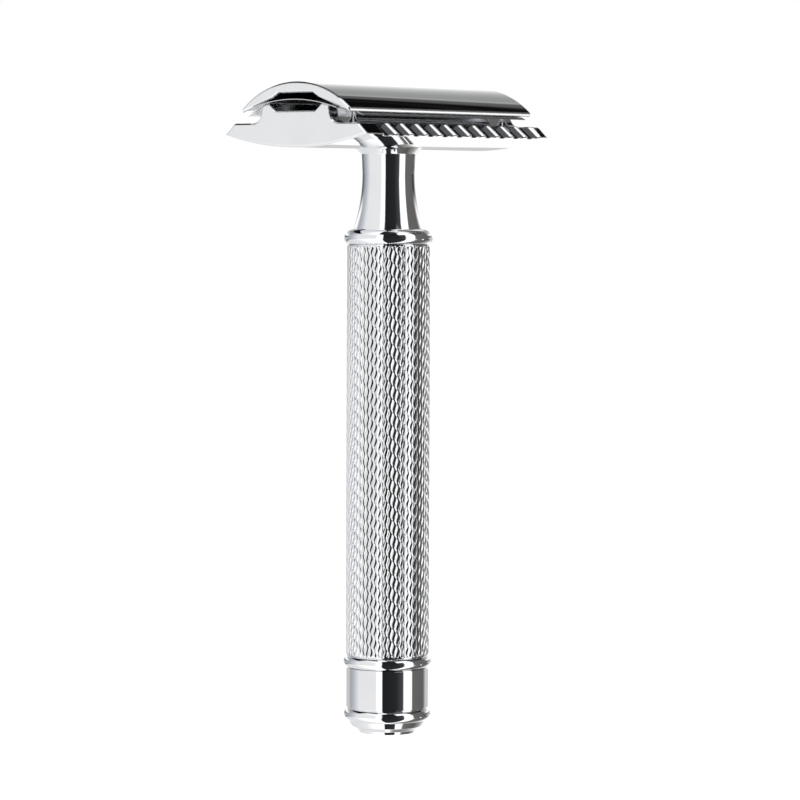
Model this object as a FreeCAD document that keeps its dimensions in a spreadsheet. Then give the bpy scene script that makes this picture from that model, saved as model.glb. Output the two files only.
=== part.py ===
import FreeCAD, Part
import math
import os

import Sketcher
from FreeCAD import Vector

# A three-piece safety razor, standing on the end of its handle.
#
# Millimetres. +Z runs up the handle, X along the blade, Y across it, and the
# origin is the middle of the foot. The head is a cap, a double-edged blade and a
# base plate with a scalloped safety bar. The cap's stud screws into the neck and
# clamps all three. The handle is a stack on one tie rod: neck, upper collar,
# grip sleeve, lower collar, barrel and pommel.

PARTS_FOLDER = "parts"
TOP = 1
BOTTOM = 2

# alias, value, what it is. Heights are above the foot, and radii and half widths
# are from the razor's centre line.
SIZES = [
    ("overall_height", 94.0, "top of the cap"),
    ("head_half_length", 20.93, "cap and base plate, along the blade"),
    ("end_edge_break", 0.22, "chamfer round the end faces of cap and base plate"),
    # cap
    ("cap_crown_radius", 15.24, "radius of the cap's crown"),
    ("cap_crown_half_width", 9.88, "where the crown rolls over into the lip"),
    ("cap_crown_end_height", 90.364, "where the crown rolls over into the lip"),
    ("cap_roll_radius", 0.25, "roll-over between crown and lip"),
    ("cap_edge_half_width", 9.956, "top of the lip's face"),
    ("cap_edge_height", 90.107, "top of the lip's face"),
    ("cap_lip_half_width", 9.84, "lower corner that presses the blade"),
    ("cap_lip_height", 89.7, "lower corner that presses the blade"),
    ("cap_channel_half_width", 4.3, "mouth of the channel under the cap"),
    ("cap_channel_height", 91.62, "mouth of the channel under the cap"),
    ("cap_roof_half_width", 3.05, "roof of the channel"),
    ("cap_roof_height", 92.38, "roof of the channel"),
    # stud and locating pins, which are held in the cap
    ("insert_depth", 0.95, "how deep the stud and the pins sit in the cap"),
    ("stud_boss_radius", 2.95, "plain boss that centres the blade"),
    ("stud_boss_bottom", 90.3, "lower end of the boss"),
    ("stud_relief_radius", 1.95, "thread relief under the boss"),
    ("stud_relief_length", 0.7, "thread relief under the boss"),
    ("stud_thread_radius", 2.5, "M5 thread, outside"),
    ("stud_thread_pitch", 0.8, "M5 coarse pitch"),
    ("stud_thread_depth", 0.49, "depth of the M5 thread"),
    ("stud_tip_height", 76.5, "lower end of the stud"),
    ("stud_tip_chamfer", 0.6, "lead-in at the stud's end"),
    ("pin_radius", 1.5, "locating pin"),
    ("pin_offset", 10.8, "pin centre from the stud's axis"),
    ("pin_tip_height", 88.3, "lower end of the pin"),
    ("pin_tip_chamfer", 0.35, "lead-in at the pin's end"),
    # blade, bent over the base plate's ridges
    ("blade_thickness", 0.1, "standard double-edged blade"),
    ("blade_bend_radius", 26.0, "bend of the clamped blade, mid thickness"),
    ("blade_crown_height", 91.5, "middle of the clamped blade"),
    ("blade_half_length", 21.4, "over the end tabs"),
    ("blade_edge_half_length", 18.7, "cutting edge"),
    ("blade_half_width", 10.67, "edge to centre when bent, 22 mm wide flat"),
    ("blade_bevel_width", 0.62, "ground bevel"),
    ("blade_tab_half_width", 8.0, "end tab"),
    ("blade_slot_half_length", 17.3, "slot along the blade"),
    ("blade_slot_half_width", 0.95, "slot along the blade"),
    ("blade_centre_hole_radius", 3.1, "clears the stud's boss"),
    ("blade_pin_hole_radius", 1.85, "clears a locating pin"),
    # base plate
    ("base_belly_height", 84.74, "lowest line of the underside"),
    ("base_belly_radius", 46.3, "curve of the underside"),
    ("base_tip_half_width", 13.1, "front edge of the safety bar"),
    ("base_tip_height", 86.63, "front edge of the safety bar"),
    ("bar_round_half_width", 11.659, "bar's top corner, outer end of the round"),
    ("bar_round_height", 87.961, "bar's top corner, outer end of the round"),
    ("bar_round_radius", 0.9, "bar's top corner"),
    ("bar_top_half_width", 11.048, "bar's top corner, inner end of the round"),
    ("bar_top_height", 88.2, "flat top of the safety bar"),
    ("ridge_fillet_radius", 1.55, "hollow between the bar and the ridge"),
    ("ridge_foot_half_width", 7.9, "where the hollow starts"),
    ("ridge_shoulder_half_width", 6.15, "outer shoulder of the blade ridge"),
    ("ridge_shoulder_height", 90.42, "outer shoulder of the blade ridge"),
    ("ridge_round_radius", 0.45, "outer shoulder of the blade ridge"),
    ("ridge_outer_half_width", 5.75, "blade rest, outer side"),
    ("ridge_outer_height", 90.75, "blade rest, outer side"),
    ("ridge_inner_half_width", 4.8, "blade rest, inner side"),
    ("ridge_inner_height", 90.95, "blade rest, inner side"),
    ("rinse_floor_half_width", 3.6, "floor of the rinse channel"),
    ("rinse_floor_height", 89.94, "floor of the rinse channel"),
    ("notch_start", 15.3, "relief beside each end lug, inner end"),
    ("notch_finish", 19.1, "relief beside each end lug, outer end"),
    ("notch_wall_half_width", 6.0, "upright wall of the relief"),
    ("flute_count", 11, "scallops along each side"),
    ("flute_pitch", 3.31, "scallop spacing"),
    ("flute_row_offset", 1.15, "middle of a scallop row, to the right of the head's middle"),
    ("flute_radius", 2.1, "scallop cutter"),
    ("flute_depth", 0.8, "scallop depth at the bar's lower edge"),
    ("flute_rake", 5.0, "degrees that a scallop runs flatter than the bar's front"),
    ("base_stud_hole_radius", 2.65, "clears the stud"),
    ("base_pin_hole_radius", 1.6, "takes a locating pin"),
    ("base_pin_hole_floor", 87.4, "bottom of a pin hole"),
    ("seat_radius", 4.95, "round recess for the neck's flange"),
    ("seat_height", 85.2, "face that sits on the neck"),
    # neck
    ("flange_radius", 4.83, "flange under the base plate"),
    ("flange_underside", 84.98, "lower edge of the flange's rim"),
    ("flange_root_radius", 3.97, "foot of the flange's taper"),
    ("flange_root_height", 84.05, "foot of the flange's taper"),
    ("neck_waist_radius", 3.85, "slimmest part of the neck"),
    ("neck_waist_height", 81.2, "slimmest part of the neck"),
    ("neck_flare_radius", 25.3, "hollow curve of the neck"),
    ("neck_foot_radius", 5.15, "where the neck meets the collar"),
    ("neck_foot_height", 73.2, "where the neck meets the collar"),
    ("neck_bore_radius", 2.56, "threaded bore for the stud, at its root"),
    ("neck_bore_floor", 74.6, "bottom of the threaded bore"),
    ("neck_mouth_radius", 3.05, "lead-in of the threaded bore"),
    ("spigot_radius", 4.0, "spigots and the bore of the sleeve"),
    ("neck_spigot_bottom", 63.5, "lower end of the neck's spigot"),
    # collars and grip
    ("upper_collar_low_radius", 5.75, "collar's groove at the grip"),
    ("upper_collar_high_radius", 5.6, "collar's groove at the neck"),
    ("collar_bulge_radius", 1.19, "round of the upper collar"),
    ("grip_top", 70.97, "upper end of the grip"),
    ("grip_bottom", 11.31, "lower end of the grip"),
    ("grip_radius", 6.05, "outside of the grip"),
    ("grip_chamfer", 0.2, "edge break on the grip's ends"),
    ("lower_collar_low_radius", 5.7, "collar's groove at the barrel"),
    ("lower_collar_high_radius", 5.78, "collar's groove at the grip"),
    ("lower_collar_bulge_radius", 0.96, "round of the lower collar"),
    # barrel, tie rod and pommel
    ("barrel_top", 9.5, "upper end of the barrel's plain band"),
    ("barrel_bottom", 3.65, "lower end of the barrel's plain band"),
    ("barrel_radius", 5.96, "outside of the barrel"),
    ("barrel_spigot_top", 17.0, "upper end of the barrel's spigot"),
    ("barrel_counterbore_radius", 3.85, "hollow for the pommel's spigot"),
    ("barrel_shoulder_height", 8.4, "shoulder that the washer presses on"),
    ("rod_radius", 2.0, "M4 tie rod"),
    ("rod_clearance", 0.2, "free space round the tie rod in the barrel"),
    ("rod_top", 70.2, "upper end of the tie rod"),
    ("rod_bottom", 2.4, "lower end of the tie rod"),
    ("rod_chamfer", 0.4, "edge break on the tie rod"),
    ("pommel_spigot_radius", 3.8, "threaded spigot inside the barrel"),
    ("pommel_spigot_top", 7.5, "upper end of the pommel's spigot"),
    ("pommel_groove_radius", 5.75, "groove between pommel and barrel"),
    ("pommel_bead_height", 1.9, "lower edge of the pommel's bead"),
    ("pommel_bead_radius", 5.88, "lower edge of the pommel's bead"),
    ("pommel_bulge_radius", 1.02, "round of the pommel's bead"),
    ("pommel_step_height", 1.0, "first ring step"),
    ("pommel_step_outer", 5.3, "first ring step, outer radius"),
    ("pommel_step_inner", 5.1, "first ring step, inner radius"),
    ("pommel_ring_height", 0.45, "second ring step"),
    ("pommel_ring_outer", 4.55, "second ring step, outer radius"),
    ("pommel_ring_inner", 4.35, "second ring step, inner radius"),
    ("foot_radius", 4.1, "flat that the razor stands on"),
    ("washer_outer_radius", 3.75, "split lock washer, M4"),
    ("washer_inner_radius", 2.1, "split lock washer, M4"),
    ("washer_gap", 0.7, "split in the lock washer"),
]

doc = FreeCAD.newDocument("SafetyRazor")


def make_sheet():
    """Put every driving size in one spreadsheet, with its meaning beside it."""
    table = doc.addObject("Spreadsheet::Sheet", "Sizes")
    for row, (alias, value, meaning) in enumerate(SIZES, start=1):
        table.set(f"A{row}", meaning)
        table.set(f"B{row}", str(value))
        table.setAlias(f"B{row}", alias)
    doc.recompute()
    return table


sheet = make_sheet()


def cells(expression):
    """Write a size expression the way the document refers to it: $name becomes Sizes.name."""
    return expression.replace("$", "Sizes.")


def value_of(expression):
    return float(sheet.evalExpression(cells(expression)))


def new_body(name):
    body = doc.addObject("PartDesign::Body", name)
    body.Label = name
    body.Placement = FreeCAD.Placement()
    return body


def origin_feature(body, role):
    return next(item for item in body.Origin.OriginFeatures if item.Role == role)


def new_sketch(body, role, name, height=None):
    """A sketch on one of the body's own planes, lifted to a height where one is given."""
    sketch = body.newObject("Sketcher::SketchObject", name)
    sketch.AttachmentSupport = (origin_feature(body, role), [""])
    sketch.MapMode = "FlatFace"
    if height:
        sketch.setExpression(".AttachmentOffset.Base.z", cells(height))
    return sketch


def pin_point(sketch, edge, end, across, up):
    """Fix one end of an edge to its place, as two sizes from the sketch's origin."""
    for kind, expression, axis in (("DistanceX", across, -2), ("DistanceY", up, -1)):
        if expression == "0":
            sketch.addConstraint(Sketcher.Constraint("PointOnObject", edge, end, axis))
            continue
        size = value_of(expression)
        index = sketch.addConstraint(Sketcher.Constraint(kind, -1, 1, edge, end, size))
        sketch.setExpression(f"Constraints[{index}]", cells(expression))


def arc_between(start, finish, radius, left):
    """The shorter arc from start to finish, its centre on the left or the right of the chord."""
    chord = finish - start
    reach = math.sqrt(radius**2 - (chord.Length / 2) ** 2)
    side = Vector(-chord.y, chord.x, 0).normalize() * (reach if left else -reach)
    centre = start + chord * 0.5 + side
    angle = [math.atan2(p.y - centre.y, p.x - centre.x) for p in (start, finish)]
    first, last = angle if left else reversed(angle)
    if last < first:
        last += 2 * math.pi
    return Part.ArcOfCircle(Part.Circle(centre, Vector(0, 0, 1), radius), first, last)


def outline(sketch, corners):
    """A closed outline. Each corner is (across, up) or (across, up, radius, side): the
    edge that leaves a corner with a radius is an arc, centred left or right of its chord."""
    points = [Vector(value_of(c[0]), value_of(c[1]), 0) for c in corners]
    first_end, last_end, edges = [], [], []
    for index, corner in enumerate(corners):
        start, finish = points[index], points[(index + 1) % len(points)]
        if len(corner) == 2:
            edges.append(sketch.addGeometry(Part.LineSegment(start, finish), False))
            left = True
        else:
            left = corner[3] == "left"
            arc = arc_between(start, finish, value_of(corner[2]), left)
            edges.append(sketch.addGeometry(arc, False))
        first_end.append(1 if left else 2)
        last_end.append(2 if left else 1)
    for index, corner in enumerate(corners):
        before = index - 1
        joint = Sketcher.Constraint(
            "Coincident", edges[before], last_end[before], edges[index], first_end[index]
        )
        sketch.addConstraint(joint)
        pin_point(sketch, edges[index], first_end[index], corner[0], corner[1])
        if len(corner) > 2:
            size = value_of(corner[2])
            radius = sketch.addConstraint(Sketcher.Constraint("Radius", edges[index], size))
            sketch.setExpression(f"Constraints[{radius}]", cells(corner[2]))
    return sketch


def rectangle(sketch, low_across, low_up, high_across, high_up):
    corners = [
        (low_across, low_up),
        (high_across, low_up),
        (high_across, high_up),
        (low_across, high_up),
    ]
    return outline(sketch, corners)


def circle(sketch, across, up, radius):
    centre = Vector(value_of(across), value_of(up), 0)
    shape = Part.Circle(centre, Vector(0, 0, 1), value_of(radius))
    edge = sketch.addGeometry(shape, False)
    index = sketch.addConstraint(Sketcher.Constraint("Radius", edge, value_of(radius)))
    sketch.setExpression(f"Constraints[{index}]", cells(radius))
    pin_point(sketch, edge, 3, across, up)


def turn(body, corners, name="Profile"):
    """Revolve an outline of (radius, height) corners about the razor's axis."""
    sketch = outline(new_sketch(body, "XZ_Plane", name), corners)
    solid = body.newObject("PartDesign::Revolution", "Turned")
    solid.Profile = sketch
    solid.ReferenceAxis = (sketch, ["V_Axis"])
    solid.Angle = 360
    doc.recompute()
    return solid


def cut(body, sketch, length=None, upward=False):
    """Pocket a sketch right through, or to a depth, and make sure that it removes material."""
    before = body.Shape.Volume
    pocket = body.newObject("PartDesign::Pocket", "Cut")
    pocket.Profile = sketch
    pocket.Reversed = upward
    if length is None:
        pocket.Type = "ThroughAll"
    else:
        pocket.setExpression("Length", cells(length))
    doc.recompute()
    if body.Shape.Volume > before - 1e-6:
        raise RuntimeError(f"{body.Label}: {sketch.Name} cuts nothing")
    return pocket


def mirror_across(body, role):
    """Complete a half body with its mirror image across one of its planes."""
    mirrored = body.newObject("PartDesign::Mirrored", "OtherHalf")
    mirrored.TransformMode = "Whole shape"
    mirrored.MirrorPlane = (origin_feature(body, role), [""])
    body.Tip = mirrored
    doc.recompute()
    return mirrored


def turn_half_round(body):
    """Complete a half body with a copy of itself, turned half a turn about the razor's axis."""
    pattern = body.newObject("PartDesign::PolarPattern", "OtherHalf")
    pattern.TransformMode = "Whole shape"
    pattern.Axis = (origin_feature(body, "Z_Axis"), [""])
    pattern.Angle = 360
    pattern.Occurrences = 2
    body.Tip = pattern
    doc.recompute()
    return pattern


def extrude(body, corners, half_length):
    """Pad an outline in the YZ plane equally to both sides."""
    sketch = outline(new_sketch(body, "YZ_Plane", "Section"), corners)
    pad = body.newObject("PartDesign::Pad", "Bar")
    pad.Profile = sketch
    pad.SideType = "Symmetric"
    pad.setExpression("Length", cells(f"2 * {half_length}"))
    doc.recompute()
    return pad


def break_end_edges(body, size):
    """Chamfer every edge of both end faces."""
    end = value_of("$head_half_length")
    base = body.Tip
    names = []
    for number, edge in enumerate(base.Shape.Edges, start=1):
        box = edge.BoundBox
        flat = box.XLength < 1e-6 and abs(abs(box.Center.x) - end) < 1e-6
        if flat:
            names.append(f"Edge{number}")
    chamfer = body.newObject("PartDesign::Chamfer", "EndChamfers")
    chamfer.Base = (base, names)
    chamfer.setExpression("Size", cells(size))
    doc.recompute()
    return chamfer


def make_top_cap():
    """The crowned cap: its lips press the blade's edges down over the base plate."""
    body = new_body("top_cap")
    corners = [
        ("0", "$cap_roof_height"),
        ("$cap_roof_half_width", "$cap_roof_height"),
        ("$cap_channel_half_width", "$cap_channel_height"),
        ("$cap_lip_half_width", "$cap_lip_height"),
        ("$cap_edge_half_width", "$cap_edge_height", "$cap_roll_radius", "left"),
        ("$cap_crown_half_width", "$cap_crown_end_height", "$cap_crown_radius", "left"),
        ("0", "$overall_height"),
    ]
    extrude(body, corners, "$head_half_length")
    mirror_across(body, "XZ_Plane")
    sockets = new_sketch(body, "XY_Plane", "Sockets", "$cap_roof_height - 0.5")
    circle(sockets, "0", "0", "$stud_boss_radius")
    for side in ("", "-"):
        circle(sockets, f"{side}$pin_offset", "0", "$pin_radius")
    cut(body, sockets, "$insert_depth + 0.5", upward=True)
    break_end_edges(body, "$end_edge_break")
    return body


def make_cap_stud():
    """The threaded stud: its head is held in the cap and its boss centres the blade."""
    body = new_body("cap_stud")
    relief_bottom = "$stud_boss_bottom - $stud_relief_length"
    corners = [
        ("0", "$stud_tip_height"),
        ("$stud_thread_radius - $stud_tip_chamfer", "$stud_tip_height"),
        ("$stud_thread_radius", "$stud_tip_height + $stud_tip_chamfer"),
        ("$stud_thread_radius", f"{relief_bottom} - 0.3"),
        ("$stud_relief_radius", relief_bottom),
        ("$stud_relief_radius", "$stud_boss_bottom"),
        ("$stud_boss_radius - 0.2", "$stud_boss_bottom"),
        ("$stud_boss_radius", "$stud_boss_bottom + 0.2"),
        ("$stud_boss_radius", "$cap_roof_height + $insert_depth"),
        ("0", "$cap_roof_height + $insert_depth"),
    ]
    turn(body, corners)
    groove = new_sketch(body, "XZ_Plane", "ThreadForm")
    start = "$stud_tip_height - $stud_thread_pitch"
    root = "$stud_thread_radius - $stud_thread_depth"
    outside = "$stud_thread_radius + 0.1"
    mouth = "$stud_thread_pitch * 0.47"
    floor = "$stud_thread_pitch * 0.08"
    corners = [
        (root, f"{start} - {floor}"),
        (outside, f"{start} - {mouth}"),
        (outside, f"{start} + {mouth}"),
        (root, f"{start} + {floor}"),
    ]
    outline(groove, corners)
    before = body.Shape.Volume
    helix = body.newObject("PartDesign::SubtractiveHelix", "Thread")
    helix.Profile = groove
    helix.ReferenceAxis = (groove, ["V_Axis"])
    helix.Mode = "pitch-height-angle"
    helix.setExpression("Pitch", cells("$stud_thread_pitch"))
    height = f"{relief_bottom} - $stud_tip_height + $stud_thread_pitch"
    helix.setExpression("Height", cells(height))
    doc.recompute()
    if body.Shape.Volume > before - 1:
        raise RuntimeError("cap_stud: the thread cuts nothing")
    return body


def make_locating_pin(name, side):
    """A dowel that keeps the blade and the base plate square with the cap."""
    body = new_body(name)
    corners = [
        ("0", "$pin_tip_height"),
        ("$pin_radius - $pin_tip_chamfer", "$pin_tip_height"),
        ("$pin_radius", "$pin_tip_height + $pin_tip_chamfer"),
        ("$pin_radius", "$cap_roof_height + $insert_depth"),
        ("0", "$cap_roof_height + $insert_depth"),
    ]
    turn(body, corners)
    body.setExpression(".Placement.Base.x", cells(f"{side}$pin_offset"))
    return body


def make_blade():
    """The double-edged blade, bent to the curve that the clamped head gives it."""
    body = new_body("blade")
    centre = "$blade_crown_height - $blade_bend_radius"
    outer = "$blade_bend_radius + $blade_thickness / 2"
    inner = "$blade_bend_radius - $blade_thickness / 2"
    bevel = "$blade_half_width - $blade_bevel_width"

    def bent(radius, across):
        return f"{centre} + sqrt(({radius})^2 - ({across})^2)"

    corners = [
        ("0", f"{centre} + {inner}", inner, "right"),
        (bevel, bent(inner, bevel)),
        ("$blade_half_width", bent("$blade_bend_radius - 0.005", "$blade_half_width")),
        ("$blade_half_width", bent("$blade_bend_radius + 0.005", "$blade_half_width")),
        (bevel, bent(outer, bevel), outer, "left"),
        ("0", f"{centre} + {outer}"),
    ]
    extrude(body, corners, "$blade_half_length")
    mirror_across(body, "XZ_Plane")
    notches = new_sketch(body, "XY_Plane", "CornerNotches", "$blade_crown_height + 2")
    for along in (1, -1):
        for across in (1, -1):
            low = (f"{along} * $blade_edge_half_length", f"{across} * $blade_tab_half_width")
            high = (f"{along} * ($blade_half_length + 1)", f"{across} * ($blade_half_width + 1)")
            if along * across > 0:
                rectangle(notches, *low, *high)
            else:
                rectangle(notches, high[0], low[1], low[0], high[1])
    cut(body, notches)
    slot = new_sketch(body, "XY_Plane", "Slot", "$blade_crown_height + 2")
    end = "$blade_slot_half_length - $blade_slot_half_width"
    # a hair over the half width, so that each round end has one clear centre
    end_radius = "$blade_slot_half_width * 1.0001"
    outline(
        slot,
        [
            (f"-({end})", "-$blade_slot_half_width"),
            (end, "-$blade_slot_half_width", end_radius, "left"),
            (end, "$blade_slot_half_width"),
            (f"-({end})", "$blade_slot_half_width", end_radius, "left"),
        ],
    )
    cut(body, slot)
    centre_hole = new_sketch(body, "XY_Plane", "CentreHole", "$blade_crown_height + 2")
    circle(centre_hole, "0", "0", "$blade_centre_hole_radius")
    cut(body, centre_hole)
    pin_holes = new_sketch(body, "XY_Plane", "PinHoles", "$blade_crown_height + 2")
    for side in ("", "-"):
        circle(pin_holes, f"{side}$pin_offset", "0", "$blade_pin_hole_radius")
    cut(body, pin_holes)
    return body


def cut_flutes(body):
    """Scallop the safety bar with a row of round grooves that run out through its lower edge."""
    run = value_of("$base_tip_half_width - $bar_round_half_width")
    drop = value_of("$bar_round_height - $base_tip_height")
    slope = math.atan2(drop, run)
    steep = slope - math.radians(value_of("$flute_rake"))
    down = Vector(math.cos(steep), -math.sin(steep), 0)
    inward = Vector(-math.sin(slope), -math.cos(slope), 0)
    toward = Vector(-math.sin(steep), -math.cos(steep), 0)
    radius = value_of("$flute_radius")
    tip = Vector(value_of("$base_tip_half_width"), value_of("$base_tip_height"), 0)
    floor = tip + inward * value_of("$flute_depth")
    centre = floor - toward * radius
    low = centre + down * 4
    high = centre - down * 6
    corners = [high, high + toward * radius, low + toward * radius, low]
    sketch = new_sketch(body, "YZ_Plane", "Flute")
    first = "-$flute_row_offset - $flute_pitch * ($flute_count - 1) / 2"
    sketch.setExpression(".AttachmentOffset.Base.z", cells(first))
    for index, corner in enumerate(corners):
        line = Part.LineSegment(corner, corners[(index + 1) % 4])
        sketch.addGeometry(line, False)
    for index in range(4):
        joint = Sketcher.Constraint("Coincident", index, 2, (index + 1) % 4, 1)
        sketch.addConstraint(joint)
    for index in range(4):
        sketch.addConstraint(Sketcher.Constraint("Block", index))
    axis = sketch.addGeometry(Part.LineSegment(high, low), True)
    sketch.addConstraint(Sketcher.Constraint("Block", axis))
    before = body.Shape.Volume
    groove = body.newObject("PartDesign::Groove", "Flutes")
    groove.Profile = sketch
    groove.ReferenceAxis = (sketch, ["Axis0"])
    groove.Angle = 360
    doc.recompute()
    pattern = body.newObject("PartDesign::LinearPattern", "FluteRow")
    pattern.Originals = [groove]
    pattern.Direction = (origin_feature(body, "X_Axis"), [""])
    pattern.setExpression("Length", cells("$flute_pitch * ($flute_count - 1)"))
    pattern.setExpression("Occurrences", cells("$flute_count"))
    body.Tip = pattern
    doc.recompute()
    if body.Shape.Volume > before - 1:
        raise RuntimeError("base_plate: the flutes cut nothing")


def make_base_plate():
    """The base plate: belly, scalloped safety bars, blade ridges and rinse channel."""
    body = new_body("base_plate")
    corners = [
        ("0", "$base_belly_height", "$base_belly_radius", "left"),
        ("$base_tip_half_width", "$base_tip_height"),
        ("$bar_round_half_width", "$bar_round_height", "$bar_round_radius", "left"),
        ("$bar_top_half_width", "$bar_top_height"),
        ("$ridge_foot_half_width", "$bar_top_height", "$ridge_fillet_radius", "right"),
        (
            "$ridge_foot_half_width - $ridge_fillet_radius",
            "$bar_top_height + $ridge_fillet_radius",
        ),
        (
            "$ridge_shoulder_half_width",
            "$ridge_shoulder_height",
            "$ridge_round_radius",
            "left",
        ),
        ("$ridge_outer_half_width", "$ridge_outer_height"),
        ("$ridge_inner_half_width", "$ridge_inner_height"),
        ("$rinse_floor_half_width", "$rinse_floor_height"),
        ("0", "$rinse_floor_height"),
    ]
    extrude(body, corners, "$head_half_length")
    cut_flutes(body)
    notches = new_sketch(body, "XY_Plane", "LugReliefs", "$bar_top_height")
    outside = "$bar_top_half_width - 1"
    wall = "$notch_wall_half_width"
    rectangle(notches, "$notch_start", wall, "$notch_finish", outside)
    rectangle(notches, "-$notch_finish", wall, "-$notch_start", outside)
    cut(body, notches, "4", upward=True)
    turn_half_round(body)
    break_end_edges(body, "$end_edge_break")
    seat = new_sketch(body, "XY_Plane", "NeckSeat", "$seat_height")
    circle(seat, "0", "0", "$seat_radius")
    cut(body, seat, "2")
    stud_hole = new_sketch(body, "XY_Plane", "StudHole", "$ridge_inner_height")
    circle(stud_hole, "0", "0", "$base_stud_hole_radius")
    cut(body, stud_hole)
    pin_holes = new_sketch(body, "XY_Plane", "PinHoles", "$ridge_inner_height")
    for side in ("", "-"):
        circle(pin_holes, f"{side}$pin_offset", "0", "$base_pin_hole_radius")
    cut(body, pin_holes, "$ridge_inner_height - $base_pin_hole_floor")
    return body


def make_neck():
    """The neck: flange, waist and flare outside, the stud's bore and a rod bore inside."""
    body = new_body("neck")
    bore_cone = "$neck_bore_floor - $neck_bore_radius * 0.58"
    corners = [
        ("$rod_radius", "$neck_spigot_bottom"),
        ("$spigot_radius - 0.3", "$neck_spigot_bottom"),
        ("$spigot_radius", "$neck_spigot_bottom + 0.3"),
        ("$spigot_radius", "$neck_foot_height"),
        (
            "$neck_foot_radius",
            "$neck_foot_height",
            "$neck_flare_radius",
            "right",
        ),
        ("$neck_waist_radius", "$neck_waist_height"),
        ("$flange_root_radius", "$flange_root_height"),
        ("$flange_radius", "$flange_underside"),
        ("$flange_radius", "$seat_height - 0.08"),
        ("$flange_radius - 0.08", "$seat_height"),
        ("$neck_mouth_radius", "$seat_height"),
        ("$neck_bore_radius", "$seat_height - ($neck_mouth_radius - $neck_bore_radius)"),
        ("$neck_bore_radius", "$neck_bore_floor"),
        ("0", bore_cone),
        ("0", "$rod_top + 0.6"),
        ("$rod_radius", "$rod_top"),
    ]
    turn(body, corners)
    return body


def make_collar(name, bottom, top, low_radius, high_radius, bulge):
    """A rounded ring between two plain lengths of the handle."""
    body = new_body(name)
    corners = [
        ("$spigot_radius", bottom),
        (low_radius, bottom, bulge, "left"),
        (high_radius, top),
        ("$spigot_radius", top),
    ]
    turn(body, corners)
    return body


def make_grip_sleeve():
    """The gripped tube. Its wavy grooves are shallower than 0.2 mm, so it is plain here."""
    body = new_body("grip_sleeve")
    corners = [
        ("$spigot_radius", "$grip_bottom"),
        ("$grip_radius - $grip_chamfer", "$grip_bottom"),
        ("$grip_radius", "$grip_bottom + $grip_chamfer"),
        ("$grip_radius", "$grip_top - $grip_chamfer"),
        ("$grip_radius - $grip_chamfer", "$grip_top"),
        ("$spigot_radius", "$grip_top"),
    ]
    turn(body, corners)
    return body


def make_barrel():
    """The plain band under the grip, with a spigot up into the sleeve."""
    body = new_body("barrel")
    bore = "$rod_radius + $rod_clearance"
    corners = [
        ("$barrel_counterbore_radius", "$barrel_bottom"),
        ("$barrel_radius - 0.1", "$barrel_bottom"),
        ("$barrel_radius", "$barrel_bottom + 0.1"),
        ("$barrel_radius", "$barrel_top - 0.1"),
        ("$barrel_radius - 0.1", "$barrel_top"),
        ("$spigot_radius", "$barrel_top"),
        ("$spigot_radius", "$barrel_spigot_top - 0.3"),
        ("$spigot_radius - 0.3", "$barrel_spigot_top"),
        (bore, "$barrel_spigot_top"),
        (bore, "$barrel_shoulder_height"),
        ("$barrel_counterbore_radius", "$barrel_shoulder_height"),
    ]
    turn(body, corners)
    return body


def make_tie_rod():
    """The rod that pulls the pommel up to the neck and holds the handle together."""
    body = new_body("tie_rod")
    corners = [
        ("0", "$rod_bottom"),
        ("$rod_radius - $rod_chamfer", "$rod_bottom"),
        ("$rod_radius", "$rod_bottom + $rod_chamfer"),
        ("$rod_radius", "$rod_top - $rod_chamfer"),
        ("$rod_radius - $rod_chamfer", "$rod_top"),
        ("0", "$rod_top"),
    ]
    turn(body, corners)
    return body


def make_lock_washer():
    """The split washer that keeps the pommel from working loose."""
    body = new_body("lock_washer")
    corners = [
        ("$washer_inner_radius", "$pommel_spigot_top"),
        ("$washer_outer_radius", "$pommel_spigot_top"),
        ("$washer_outer_radius", "$barrel_shoulder_height"),
        ("$washer_inner_radius", "$barrel_shoulder_height"),
    ]
    turn(body, corners)
    split = new_sketch(body, "XY_Plane", "Split", "$barrel_shoulder_height + 1")
    rectangle(split, "0", "-$washer_gap / 2", "$washer_outer_radius + 1", "$washer_gap / 2")
    cut(body, split)
    return body


def make_pommel():
    """The end knob: a bead, two ring steps and the flat foot, on a threaded spigot."""
    body = new_body("pommel")
    corners = [
        ("0", "0"),
        ("$foot_radius", "0"),
        ("$pommel_ring_inner", "$pommel_ring_height"),
        ("$pommel_ring_outer", "$pommel_ring_height"),
        ("$pommel_step_inner", "$pommel_step_height"),
        ("$pommel_step_outer", "$pommel_step_height"),
        (
            "$pommel_bead_radius",
            "$pommel_bead_height",
            "$pommel_bulge_radius",
            "left",
        ),
        ("$pommel_groove_radius", "$barrel_bottom"),
        ("$pommel_spigot_radius", "$barrel_bottom"),
        ("$pommel_spigot_radius", "$pommel_spigot_top"),
        ("$rod_radius", "$pommel_spigot_top"),
        ("$rod_radius", "$rod_bottom"),
        ("0", "$rod_bottom"),
    ]
    turn(body, corners)
    return body


def check(bodies):
    """Stop on a failed feature, an empty or broken shape, or a piece in several lumps."""
    for item in doc.Objects:
        if "Invalid" in item.State or "Error" in item.State:
            raise RuntimeError(f"{item.Label} failed: {item.State}")
    for body in bodies:
        if body.Shape.isNull() or not body.Shape.isValid():
            raise RuntimeError(f"{body.Label} has no valid shape")
        if len(body.Shape.Solids) != 1:
            raise RuntimeError(f"{body.Label} has {len(body.Shape.Solids)} solids")


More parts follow.
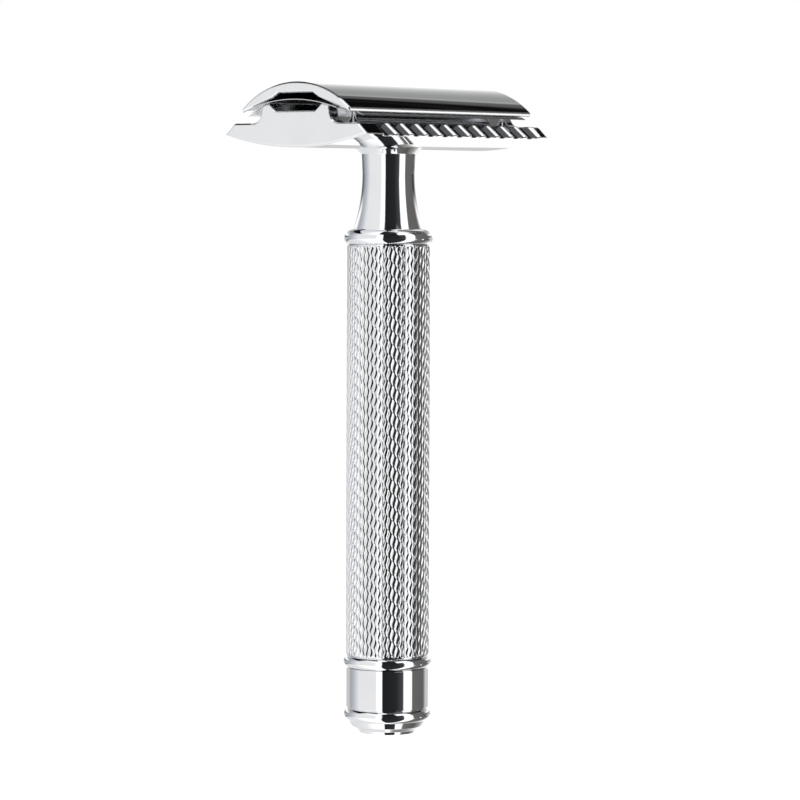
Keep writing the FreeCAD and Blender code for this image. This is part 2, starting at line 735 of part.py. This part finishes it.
def main():
    bodies = [
        make_top_cap(),
        make_cap_stud(),
        make_locating_pin("locating_pin_left", "-"),
        make_locating_pin("locating_pin_right", ""),
        make_blade(),
        make_base_plate(),
        make_neck(),
        make_collar(
            "upper_collar",
            "$grip_top",
            "$neck_foot_height",
            "$upper_collar_low_radius",
            "$upper_collar_high_radius",
            "$collar_bulge_radius",
        ),
        make_grip_sleeve(),
        make_collar(
            "lower_collar",
            "$barrel_top",
            "$grip_bottom",
            "$lower_collar_low_radius",
            "$lower_collar_high_radius",
            "$lower_collar_bulge_radius",
        ),
        make_barrel(),
        make_tie_rod(),
        make_lock_washer(),
        make_pommel(),
    ]
    doc.recompute()
    check(bodies)
    os.makedirs(PARTS_FOLDER, exist_ok=True)
    for body in bodies:
        body.Shape.exportStep(os.path.join(PARTS_FOLDER, f"{body.Label}.step"))
        box = body.Shape.BoundBox
        print(
            f"{body.Label:20s} volume {body.Shape.Volume:9.2f}"
            f"  x {box.XMin:7.2f} {box.XMax:7.2f}  y {box.YMin:7.2f} {box.YMax:7.2f}"
            f"  z {box.ZMin:7.2f} {box.ZMax:7.2f}"
        )


main()
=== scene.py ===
import math

import bpy
from mathutils import Matrix, Vector


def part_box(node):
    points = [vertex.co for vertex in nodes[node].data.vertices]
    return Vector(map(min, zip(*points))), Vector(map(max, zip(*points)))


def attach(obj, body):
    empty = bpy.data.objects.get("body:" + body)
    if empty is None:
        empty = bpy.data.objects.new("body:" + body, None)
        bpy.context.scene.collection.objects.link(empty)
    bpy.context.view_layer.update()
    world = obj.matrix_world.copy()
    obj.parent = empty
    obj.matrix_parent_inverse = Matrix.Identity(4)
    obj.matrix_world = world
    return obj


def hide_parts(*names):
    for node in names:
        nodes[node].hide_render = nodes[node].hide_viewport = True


# A chrome safety razor on a white sweep. The CAD frame gives every shape except the
# grip, whose wavy engraved grooves are built here. Metres, in the frame's own axes:
# +Z up the handle, X along the blade, and the origin under the foot.

MM = 0.001

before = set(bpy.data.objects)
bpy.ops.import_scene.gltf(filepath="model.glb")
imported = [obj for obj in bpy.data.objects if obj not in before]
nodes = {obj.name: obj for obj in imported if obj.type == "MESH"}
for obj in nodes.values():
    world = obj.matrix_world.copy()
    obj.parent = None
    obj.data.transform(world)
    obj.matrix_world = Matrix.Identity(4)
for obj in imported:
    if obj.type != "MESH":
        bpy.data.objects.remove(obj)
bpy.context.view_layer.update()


# ---------------------------------------------------------------- camera

VIEW_TURN = math.radians(50.98)  # from the long side's straight-on view to this one
CAMERA_DISTANCE = 541.24 * MM
CAMERA_HEIGHT = 77.55 * MM
CAMERA_SIDE = 1.30 * MM  # the camera stands this far right of the handle's axis
AIM_HEIGHT = 48.42 * MM
AIM_SIDE = 1.74 * MM
CAMERA_ROLL = 0.0033
LENS_MM = 167.93

forward = Vector((math.sin(VIEW_TURN), math.cos(VIEW_TURN), 0))
right = Vector((math.cos(VIEW_TURN), -math.sin(VIEW_TURN), 0))


def make_camera():
    data = bpy.data.cameras.new("Camera")
    data.lens = LENS_MM
    data.clip_start = 0.01
    data.clip_end = 20
    camera = bpy.data.objects.new("Camera", data)
    bpy.context.scene.collection.objects.link(camera)
    place = right * CAMERA_SIDE - forward * CAMERA_DISTANCE + Vector((0, 0, CAMERA_HEIGHT))
    aim = right * AIM_SIDE + Vector((0, 0, AIM_HEIGHT))
    turn = (aim - place).to_track_quat("-Z", "Y").to_matrix().to_4x4()
    camera.matrix_world = (
        Matrix.Translation(place) @ turn @ Matrix.Rotation(CAMERA_ROLL, 4, "Z")
    )
    bpy.context.scene.camera = camera


# ---------------------------------------------------------------- node helpers


class Tree:
    """Short calls for building a node tree."""

    def __init__(self, tree):
        self.tree = tree
        tree.nodes.clear()

    def add(self, kind, inputs=None, **settings):
        node = self.tree.nodes.new("ShaderNode" + kind)
        for name, value in settings.items():
            setattr(node, name, value)
        for name, value in (inputs or {}).items():
            self.feed(node.inputs[name], value)
        return node

    def feed(self, socket, value):
        if isinstance(value, bpy.types.NodeSocket):
            self.tree.links.new(value, socket)
        else:
            socket.default_value = value

    def math(self, operation, *values):
        node = self.add("Math", operation=operation)
        for socket, value in zip(node.inputs, values):
            self.feed(socket, value)
        return node.outputs[0]

    def smooth(self, value, low, high):
        """0 at low and 1 at high, with a soft step between. Low may be the larger one."""
        inputs = {"Value": value, "From Min": low, "From Max": high}
        node = self.add("MapRange", inputs, interpolation_type="SMOOTHSTEP")
        return node.outputs["Result"]

    def scale_to(self, value, low, high):
        """A 0 to 1 value, spread from low to high."""
        inputs = {"Value": value, "To Min": low, "To Max": high}
        return self.add("MapRange", inputs).outputs["Result"]

    def dot(self, vector, direction):
        node = self.add("VectorMath", operation="DOT_PRODUCT")
        self.feed(node.inputs[0], vector)
        self.feed(node.inputs[1], tuple(direction))
        return node.outputs["Value"]

    def blend(self, factor, first, second):
        """A colour mix."""
        node = self.add("Mix", data_type="RGBA")
        self.feed(node.inputs["Factor"], factor)
        self.feed(node.inputs[6], first)
        self.feed(node.inputs[7], second)
        return node.outputs[2]

    def ramp(self, value, stops):
        """A colour ramp with stops of (position, colour)."""
        node = self.add("ValToRGB", {"Fac": value})
        elements = node.color_ramp.elements
        while len(elements) < len(stops):
            elements.new(0.5)
        for element, (position, colour) in zip(elements, stops):
            element.position = position
            element.color = colour
        return node.outputs["Color"]

    def noise(self, vector, scale, detail=3.0, roughness=0.55):
        inputs = {
            "Vector": vector,
            "Scale": scale,
            "Detail": detail,
            "Roughness": roughness,
        }
        return self.add("TexNoise", inputs).outputs["Fac"]

    def stretched(self, vector, scale):
        node = self.add("Mapping", {"Vector": vector, "Scale": scale})
        return node.outputs["Vector"]

    def metal(self, colour, rough, bump):
        """Close a metal material with its colour, roughness and bump node."""
        inputs = {"Base Color": colour, "Roughness": rough, "Metallic": 1.0}
        shader = self.add("BsdfPrincipled", inputs)
        self.feed(shader.inputs["Normal"], bump.outputs["Normal"])
        self.close(shader)

    def close(self, shader, kind="OutputMaterial"):
        """Join a shader to a new output node."""
        output = self.add(kind)
        self.tree.links.new(shader.outputs[0], output.inputs["Surface"])


# ---------------------------------------------------------------- studio

WHITE = 1.25
WARM = (1.03, 1.0, 0.95)
COOL = (0.94, 0.98, 1.06)
PLAIN = (1.0, 1.0, 1.0)

# The walls round the razor at its own height: degrees from the camera, to the right
# as the camera sees it, then brightness and tint. The camera stands in the dark gap
# of a white tent.
WALLS = [
    (-180, WHITE, PLAIN),
    (-164, 0.90, PLAIN),
    (-150, 0.11, COOL),
    (-138, 0.16, COOL),
    (-124, 0.38, COOL),
    (-105, 0.58, COOL),
    (-86, 0.84, PLAIN),
    (-32, 0.86, PLAIN),
    (-29, WHITE, PLAIN),
    (-15, WHITE, PLAIN),
    (-13, 0.016, COOL),
    (26, 0.022, COOL),
    (35, 0.045, COOL),
    (46, 0.065, COOL),
    (48.5, WHITE, PLAIN),
    (73, WHITE, PLAIN),
    (76, 0.135, WARM),
    (119, 0.125, WARM),
    (128, 0.035, WARM),
    (134, 0.035, WARM),
    (150, 0.55, PLAIN),
    (165, WHITE, PLAIN),
]
# The same round the upper part of the tent.
CEILING = [
    (-180, 0.004, PLAIN),
    (-96, 0.006, PLAIN),
    (-84, 0.80, PLAIN),
    (-20, WHITE, PLAIN),
    (-16, 0.012, COOL),
    (26, 0.015, COOL),
    (31, WHITE, PLAIN),
    (70, WHITE, PLAIN),
    (80, 0.09, WARM),
    (120, 0.05, WARM),
    (130, 0.004, PLAIN),
]
# The same round the white table.
TABLE = [
    (-180, WHITE, PLAIN),
    (-150, 0.75, PLAIN),
    (-100, 0.85, PLAIN),
    (-60, WHITE, PLAIN),
    (-18, WHITE, PLAIN),
    (-15, 0.02, COOL),
    (47, 0.03, COOL),
    (52, WHITE, PLAIN),
    (76, WHITE, PLAIN),
    (84, 0.16, WARM),
    (120, 0.10, WARM),
    (140, 0.35, WARM),
    (165, WHITE, PLAIN),
]
# Up the wall behind the razor: degrees above its own level, then brightness.
BACK_WALL = [
    (10, WHITE),
    (13, 0.95),
    (17, 0.76),
    (20, 0.58),
    (24, 0.44),
    (28, 0.33),
    (31.5, 0.31),
    (32.5, 0.42),
    (33.2, 0.12),
    (34.6, 0.10),
    (35.4, 0.004),
]

# Where one band fades into the next: degrees above the razor's own level.
TABLE_FADE = (-12, -22)
CEILING_FADE = (31, 37)
ROOF_FADE = (56, 62)
BACK_FOOT_FADE = (4, 10)
BACK_HEAD_FADE = (37, 36)
# The table's far edge shows as a thin grey line behind the razor.
FAR_EDGE_TOP_FADE = (-1, -2.5)
FAR_EDGE_FOOT_FADE = (-12, -9)
# Where the side walls turn into the back wall: degrees from the camera, either way.
BACK_FADE = (118, 140)

ROOF_COLOUR = (0.10, 0.10, 0.105, 1)
FAR_EDGE_COLOUR = (0.60, 0.60, 0.60, 1)
BACKDROP = (1, 1, 1, 1)

# A softbox overhead and a small card low on the right: where each stands and how far
# it spreads round that, in degrees, and how much wider its soft rim reaches.
LAMP_TURN, LAMP_HEIGHT, LAMP_SPREAD = -25, 68, 8
CARD_TURN, CARD_HEIGHT, CARD_SPREAD = 106, -18.4, 3.4
SOFT_RIM = 1.25


def sine(degrees):
    return math.sin(math.radians(degrees))


def grey(level):
    return (level, level, level, 1)


def around(tree, azimuth, walls):
    """A band of the tent as a colour ramp over the whole turn."""
    stops = []
    for degrees, level, tint in walls:
        colour = [level * part for part in tint] + [1]
        stops.append((degrees / 360 + 0.5, colour))
    return tree.ramp(azimuth, stops)


def aimed(tree, direction, turn, height, spread):
    """1 within a round patch of sky and 0 outside it."""
    level = math.cos(math.radians(height))
    ahead = math.cos(math.radians(turn)) * level
    aside = math.sin(math.radians(turn)) * level
    centre = -forward * ahead + right * aside + Vector((0, 0, sine(height)))
    inner = math.cos(math.radians(spread))
    outer = math.cos(math.radians(spread * SOFT_RIM))
    return tree.smooth(tree.dot(direction, centre), outer, inner)


def make_world():
    """A white tent with a dark gap at the camera and a dark roof behind the razor."""
    world = bpy.data.worlds.new("Studio")
    world.use_nodes = True
    bpy.context.scene.world = world
    tree = Tree(world.node_tree)
    direction = tree.add("TexCoord").outputs["Generated"]
    height = tree.dot(direction, (0, 0, 1))
    ahead = tree.dot(direction, -forward)
    aside = tree.dot(direction, right)
    turn = tree.math("ARCTAN2", aside, ahead)
    azimuth = tree.math("MULTIPLY_ADD", turn, 1 / (2 * math.pi), 0.5)
    walls = around(tree, azimuth, WALLS)
    ceiling = around(tree, azimuth, CEILING)
    table = around(tree, azimuth, TABLE)
    back_wall = tree.ramp(height, [(sine(rise), grey(level)) for rise, level in BACK_WALL])

    def faded(fade):
        return tree.smooth(height, *(sine(degrees) for degrees in fade))

    is_back = tree.smooth(tree.math("ABSOLUTE", turn), *map(math.radians, BACK_FADE))
    behind = tree.math("MULTIPLY", is_back, faded(BACK_FOOT_FADE))
    behind = tree.math("MULTIPLY", behind, faded(BACK_HEAD_FADE))
    far_edge = tree.math("MULTIPLY", faded(FAR_EDGE_TOP_FADE), faded(FAR_EDGE_FOOT_FADE))
    far_edge = tree.math("MULTIPLY", far_edge, is_back)
    lamp = aimed(tree, direction, LAMP_TURN, LAMP_HEIGHT, LAMP_SPREAD)
    card = aimed(tree, direction, CARD_TURN, CARD_HEIGHT, CARD_SPREAD)
    seen = tree.add("LightPath").outputs["Is Camera Ray"]

    colour = tree.blend(faded(TABLE_FADE), walls, table)
    colour = tree.blend(faded(CEILING_FADE), colour, ceiling)
    colour = tree.blend(behind, colour, back_wall)
    colour = tree.blend(faded(ROOF_FADE), colour, ROOF_COLOUR)
    colour = tree.blend(lamp, colour, grey(WHITE))
    colour = tree.blend(card, colour, grey(WHITE))
    colour = tree.blend(far_edge, colour, FAR_EDGE_COLOUR)
    colour = tree.blend(seen, colour, BACKDROP)
    background = tree.add("Background", {"Color": colour, "Strength": 1.0})
    tree.close(background, "OutputWorld")
    bpy.context.scene.view_settings.view_transform = "Standard"


FLOOR_HALF = 4.0
PAPER = (0.85, 0.85, 0.85, 1)
PAPER_GLOW = 0.80


def new_material(name):
    material = bpy.data.materials.new(name)
    material.use_nodes = True
    return material, Tree(material.node_tree)


def make_floor():
    """A pale sweep that is bright enough to meet the white background without a line."""
    mesh = bpy.data.meshes.new("Floor")
    signs = [(-1, -1), (1, -1), (1, 1), (-1, 1)]
    corners = [(x * FLOOR_HALF, y * FLOOR_HALF, 0) for x, y in signs]
    mesh.from_pydata(corners, [], [(0, 1, 2, 3)])
    floor = bpy.data.objects.new("Floor", mesh)
    bpy.context.scene.collection.objects.link(floor)
    floor.visible_glossy = False
    material, tree = new_material("PaleFloor")
    paper = tree.add("BsdfPrincipled", {"Base Color": PAPER, "Roughness": 0.9})
    paper.inputs["Emission Color"].default_value = (1, 1, 1, 1)
    paper.inputs["Emission Strength"].default_value = PAPER_GLOW
    tree.close(paper)
    mesh.materials.append(material)


# ---------------------------------------------------------------- materials


CHROME_TINT = (0.93, 0.94, 0.955)
CHROME_CLOUD_SHADE = 0.965
CHROME_HAIRS = (900, 900, 5200)
CHROME_ROUGHNESS = 0.022
SWELL_DISTANCE = 0.03 * MM
EDGE_ROUND = 0.08 * MM
HEAD_EDGE_ROUND = 0.30 * MM
TOOL_LINE_DISTANCE = 0.012 * MM
ROLLED_GRAIN = (300, 9000, 300)
GROUND_GRAIN = (16000, 300, 300)
GRAIN_DISTANCE = 0.006 * MM
BLADE_BEVEL = 0.62 * MM
BLADE_BEVEL_FADE = 0.02 * MM


def chrome(name, haze=1.0, wave=1.0, edge_round=EDGE_ROUND):
    """Bright chrome plate: a hint of polishing haze and hairlines, a very slightly wavy
    face, and edges that the polishing has rounded."""
    material, tree = new_material(name)
    place = tree.add("TexCoord").outputs["Object"]
    cloud = tree.noise(place, 160, 4)
    hairs = tree.noise(tree.stretched(place, CHROME_HAIRS), 1.0, 5, 0.7)
    darker = [part * CHROME_CLOUD_SHADE for part in CHROME_TINT]
    colour = tree.blend(tree.smooth(cloud, 0.35, 0.75), (*CHROME_TINT, 1), (*darker, 1))
    soft = tree.math("MULTIPLY", tree.smooth(cloud, 0.42, 0.72), 0.018 * haze)
    fine = tree.math("MULTIPLY", tree.smooth(hairs, 0.60, 0.82), 0.035 * haze)
    rough = tree.math("ADD", tree.math("ADD", soft, fine), CHROME_ROUGHNESS)
    swell = tree.noise(place, 75, 2)
    inputs = {"Strength": 0.10 * wave, "Distance": SWELL_DISTANCE, "Height": swell}
    bump = tree.add("Bump", inputs)
    if edge_round:
        rounded = tree.add("Bevel", {"Radius": edge_round}, samples=6)
        tree.feed(bump.inputs["Normal"], rounded.outputs["Normal"])
    tree.metal(colour, rough, bump)
    return material


def steel(name, tint, along, rough_low, rough_high):
    """Bare steel with fine tool lines that run at right angles to the axis given."""
    material, tree = new_material(name)
    place = tree.add("TexCoord").outputs["Object"]
    lines = tree.noise(tree.stretched(place, along), 1.0, 4, 0.65)
    cloud = tree.noise(place, 240, 4)
    bright = [min(1.0, part * 1.12) for part in tint]
    dull = [part * 0.86 for part in tint]
    mixed = tree.math("MULTIPLY_ADD", cloud, 0.5, tree.math("MULTIPLY", lines, 0.5))
    colour = tree.blend(tree.smooth(mixed, 0.35, 0.65), (*dull, 1), (*bright, 1))
    rough = tree.scale_to(lines, rough_low, rough_high)
    inputs = {"Strength": 0.25, "Distance": TOOL_LINE_DISTANCE, "Height": lines}
    bump = tree.add("Bump", inputs)
    tree.metal(colour, rough, bump)
    return material


def blade_steel(name):
    """Stainless strip: a fine grain along the blade and a ground bevel at each edge."""
    material, tree = new_material(name)
    low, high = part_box("blade")
    bevel = (high.y - low.y) / 2 - BLADE_BEVEL
    place = tree.add("TexCoord").outputs["Object"]
    across = tree.math("ABSOLUTE", tree.dot(place, (0, 1, 0)))
    at_bevel = tree.smooth(across, bevel - BLADE_BEVEL_FADE, bevel + BLADE_BEVEL_FADE)
    grain = tree.noise(tree.stretched(place, ROLLED_GRAIN), 1.0, 4, 0.6)
    grind = tree.noise(tree.stretched(place, GROUND_GRAIN), 1.0, 3, 0.6)
    sheet = tree.blend(grain, (0.62, 0.63, 0.65, 1), (0.80, 0.81, 0.83, 1))
    ground = tree.blend(grind, (0.60, 0.61, 0.63, 1), (0.82, 0.83, 0.85, 1))
    colour = tree.blend(at_bevel, sheet, ground)
    rough = tree.math("MULTIPLY_ADD", grain, 0.12, 0.20)
    lines = tree.blend(at_bevel, grain, grind)
    bump = tree.add("Bump", {"Strength": 0.15, "Distance": GRAIN_DISTANCE, "Height": lines})
    tree.metal(colour, rough, bump)
    return material


def give(node_name, material):
    """Put a material on every slot of a CAD node."""
    mesh = nodes[node_name].data
    if not mesh.materials:
        mesh.materials.append(material)
    for index in range(len(mesh.materials)):
        mesh.materials[index] = material


# ---------------------------------------------------------------- grip

GROOVES = 64
WAVE_LENGTH = 1.95 * MM
WAVE_SWING = 0.16 * MM
GROOVE_DEPTH = 0.118 * MM
STEP_PER_GROOVE = 0.28  # of a wave, so each groove sits a little lower than the last
END_BAND = 0.12 * MM
END_FADE = 0.40 * MM
GRIP_ROWS = 250
GRIP_SHARP_DEGREES = 22
FADE_RINGS = (0.3, 0.7)  # places of two mesh rings along each end's fade
# One groove and the land beside it: place across the pitch, then part of the depth.
LAND = [(0.0, 1.0), (0.15, 0.72), (0.30, 0.07), (0.5, 0.0), (0.70, 0.07), (0.85, 0.72)]


def grip_rows(low, high):
    """Heights of the mesh's rings: close together at both ends and even between them."""
    close = [0, END_BAND] + [END_BAND + END_FADE * part for part in FADE_RINGS]
    inner = END_BAND + END_FADE
    span = high - low - 2 * inner
    even = GRIP_ROWS - 2 * len(close)
    middle = [low + inner + span * step / (even - 1) for step in range(even)]
    return [low + gap for gap in close] + middle + [high - gap for gap in reversed(close)]


def land_height(z, low, high):
    """1 along the grip, and 0 in the plain turned band at each end."""
    gap = min(z - low, high - z) - END_BAND
    part = min(1.0, max(0.0, gap / END_FADE))
    return math.sqrt(1 - (1 - part) ** 2)


def groove_ring(z, outside, phase, lift):
    """One ring of points round the grip. Each groove sways as the wave passes it."""
    ring = []
    swing = WAVE_SWING / outside
    for groove in range(GROOVES):
        start = phase + STEP_PER_GROOVE * groove
        here = math.sin(2 * math.pi * start)
        after = math.sin(2 * math.pi * (start + STEP_PER_GROOVE))
        for place, depth in LAND:
            sway = here * (1 - place) + after * place
            angle = 2 * math.pi * (groove + place) / GROOVES + swing * sway
            radius = outside - GROOVE_DEPTH * (1 - (1 - depth) * lift)
            ring.append((radius * math.cos(angle), radius * math.sin(angle), z))
    return ring


def bore_ring(ring, bore, z):
    """The points of a ring, moved in to the bore."""
    angles = [math.atan2(y, x) for x, y, _ in ring]
    return [(bore * math.cos(angle), bore * math.sin(angle), z) for angle in angles]


def grip_faces(rows, columns):
    """Faces between the rings, then both end faces and the bore."""
    faces = []
    for row in range(rows - 1):
        first, above = row * columns, (row + 1) * columns
        for column in range(columns):
            beside = (column + 1) % columns
            faces.append((first + column, first + beside, above + beside, above + column))
    top = (rows - 1) * columns
    low_bore, high_bore = rows * columns, (rows + 1) * columns
    for column in range(columns):
        beside = (column + 1) % columns
        low_here, low_beside = low_bore + column, low_bore + beside
        high_here, high_beside = high_bore + column, high_bore + beside
        faces.append((low_here, low_beside, beside, column))
        faces.append((top + column, top + beside, high_beside, high_here))
        faces.append((low_beside, low_here, high_here, high_beside))
    return faces


def make_grip():
    """The sleeve with its engraved grooves, as one closed tube."""
    low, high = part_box("grip_sleeve")
    outside = (high.x - low.x) / 2
    bore = min(math.hypot(v.co.x, v.co.y) for v in nodes["grip_sleeve"].data.vertices)
    rings = []
    for z in grip_rows(low.z, high.z):
        phase = (z - low.z) / WAVE_LENGTH
        rings.append(groove_ring(z, outside, phase, land_height(z, low.z, high.z)))
    bores = [bore_ring(rings[0], bore, low.z), bore_ring(rings[-1], bore, high.z)]
    points = [point for ring in rings + bores for point in ring]
    faces = grip_faces(len(rings), len(rings[0]))
    mesh = bpy.data.meshes.new("engraved_grip")
    mesh.from_pydata(points, [], faces)
    mesh.validate()
    mesh.shade_smooth()
    mesh.set_sharp_from_angle(angle=math.radians(GRIP_SHARP_DEGREES))
    grip = bpy.data.objects.new("engraved_grip", mesh)
    bpy.context.scene.collection.objects.link(grip)
    mesh.materials.append(chrome("GripChrome", haze=1.2, wave=0.6, edge_round=0))
    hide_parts("grip_sleeve")
    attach(grip, "handle")


# ---------------------------------------------------------------- build

make_camera()
make_world()
make_floor()
make_grip()

handle_chrome = chrome("HandleChrome")
handle_nodes = ("neck", "upper_collar", "lower_collar", "barrel", "pommel", "grip_sleeve")
for name in handle_nodes:
    give(name, handle_chrome)
give("top_cap", chrome("CapChrome", wave=0.7, edge_round=HEAD_EDGE_ROUND))
give("base_plate", chrome("BaseChrome", wave=0.5, edge_round=HEAD_EDGE_ROUND))
turned = steel("TurnedSteel", (0.60, 0.60, 0.59), (400, 400, 14000), 0.16, 0.32)
for name in ("cap_stud", "locating_pin_left", "locating_pin_right"):
    give(name, turned)
give("blade", blade_steel("BladeSteel"))
give("tie_rod", steel("RodSteel", (0.50, 0.49, 0.48), (500, 500, 9000), 0.28, 0.45))
spring_steel = steel("SpringSteel", (0.30, 0.29, 0.28), (2500, 2500, 2500), 0.35, 0.55)
give("lock_washer", spring_steel)
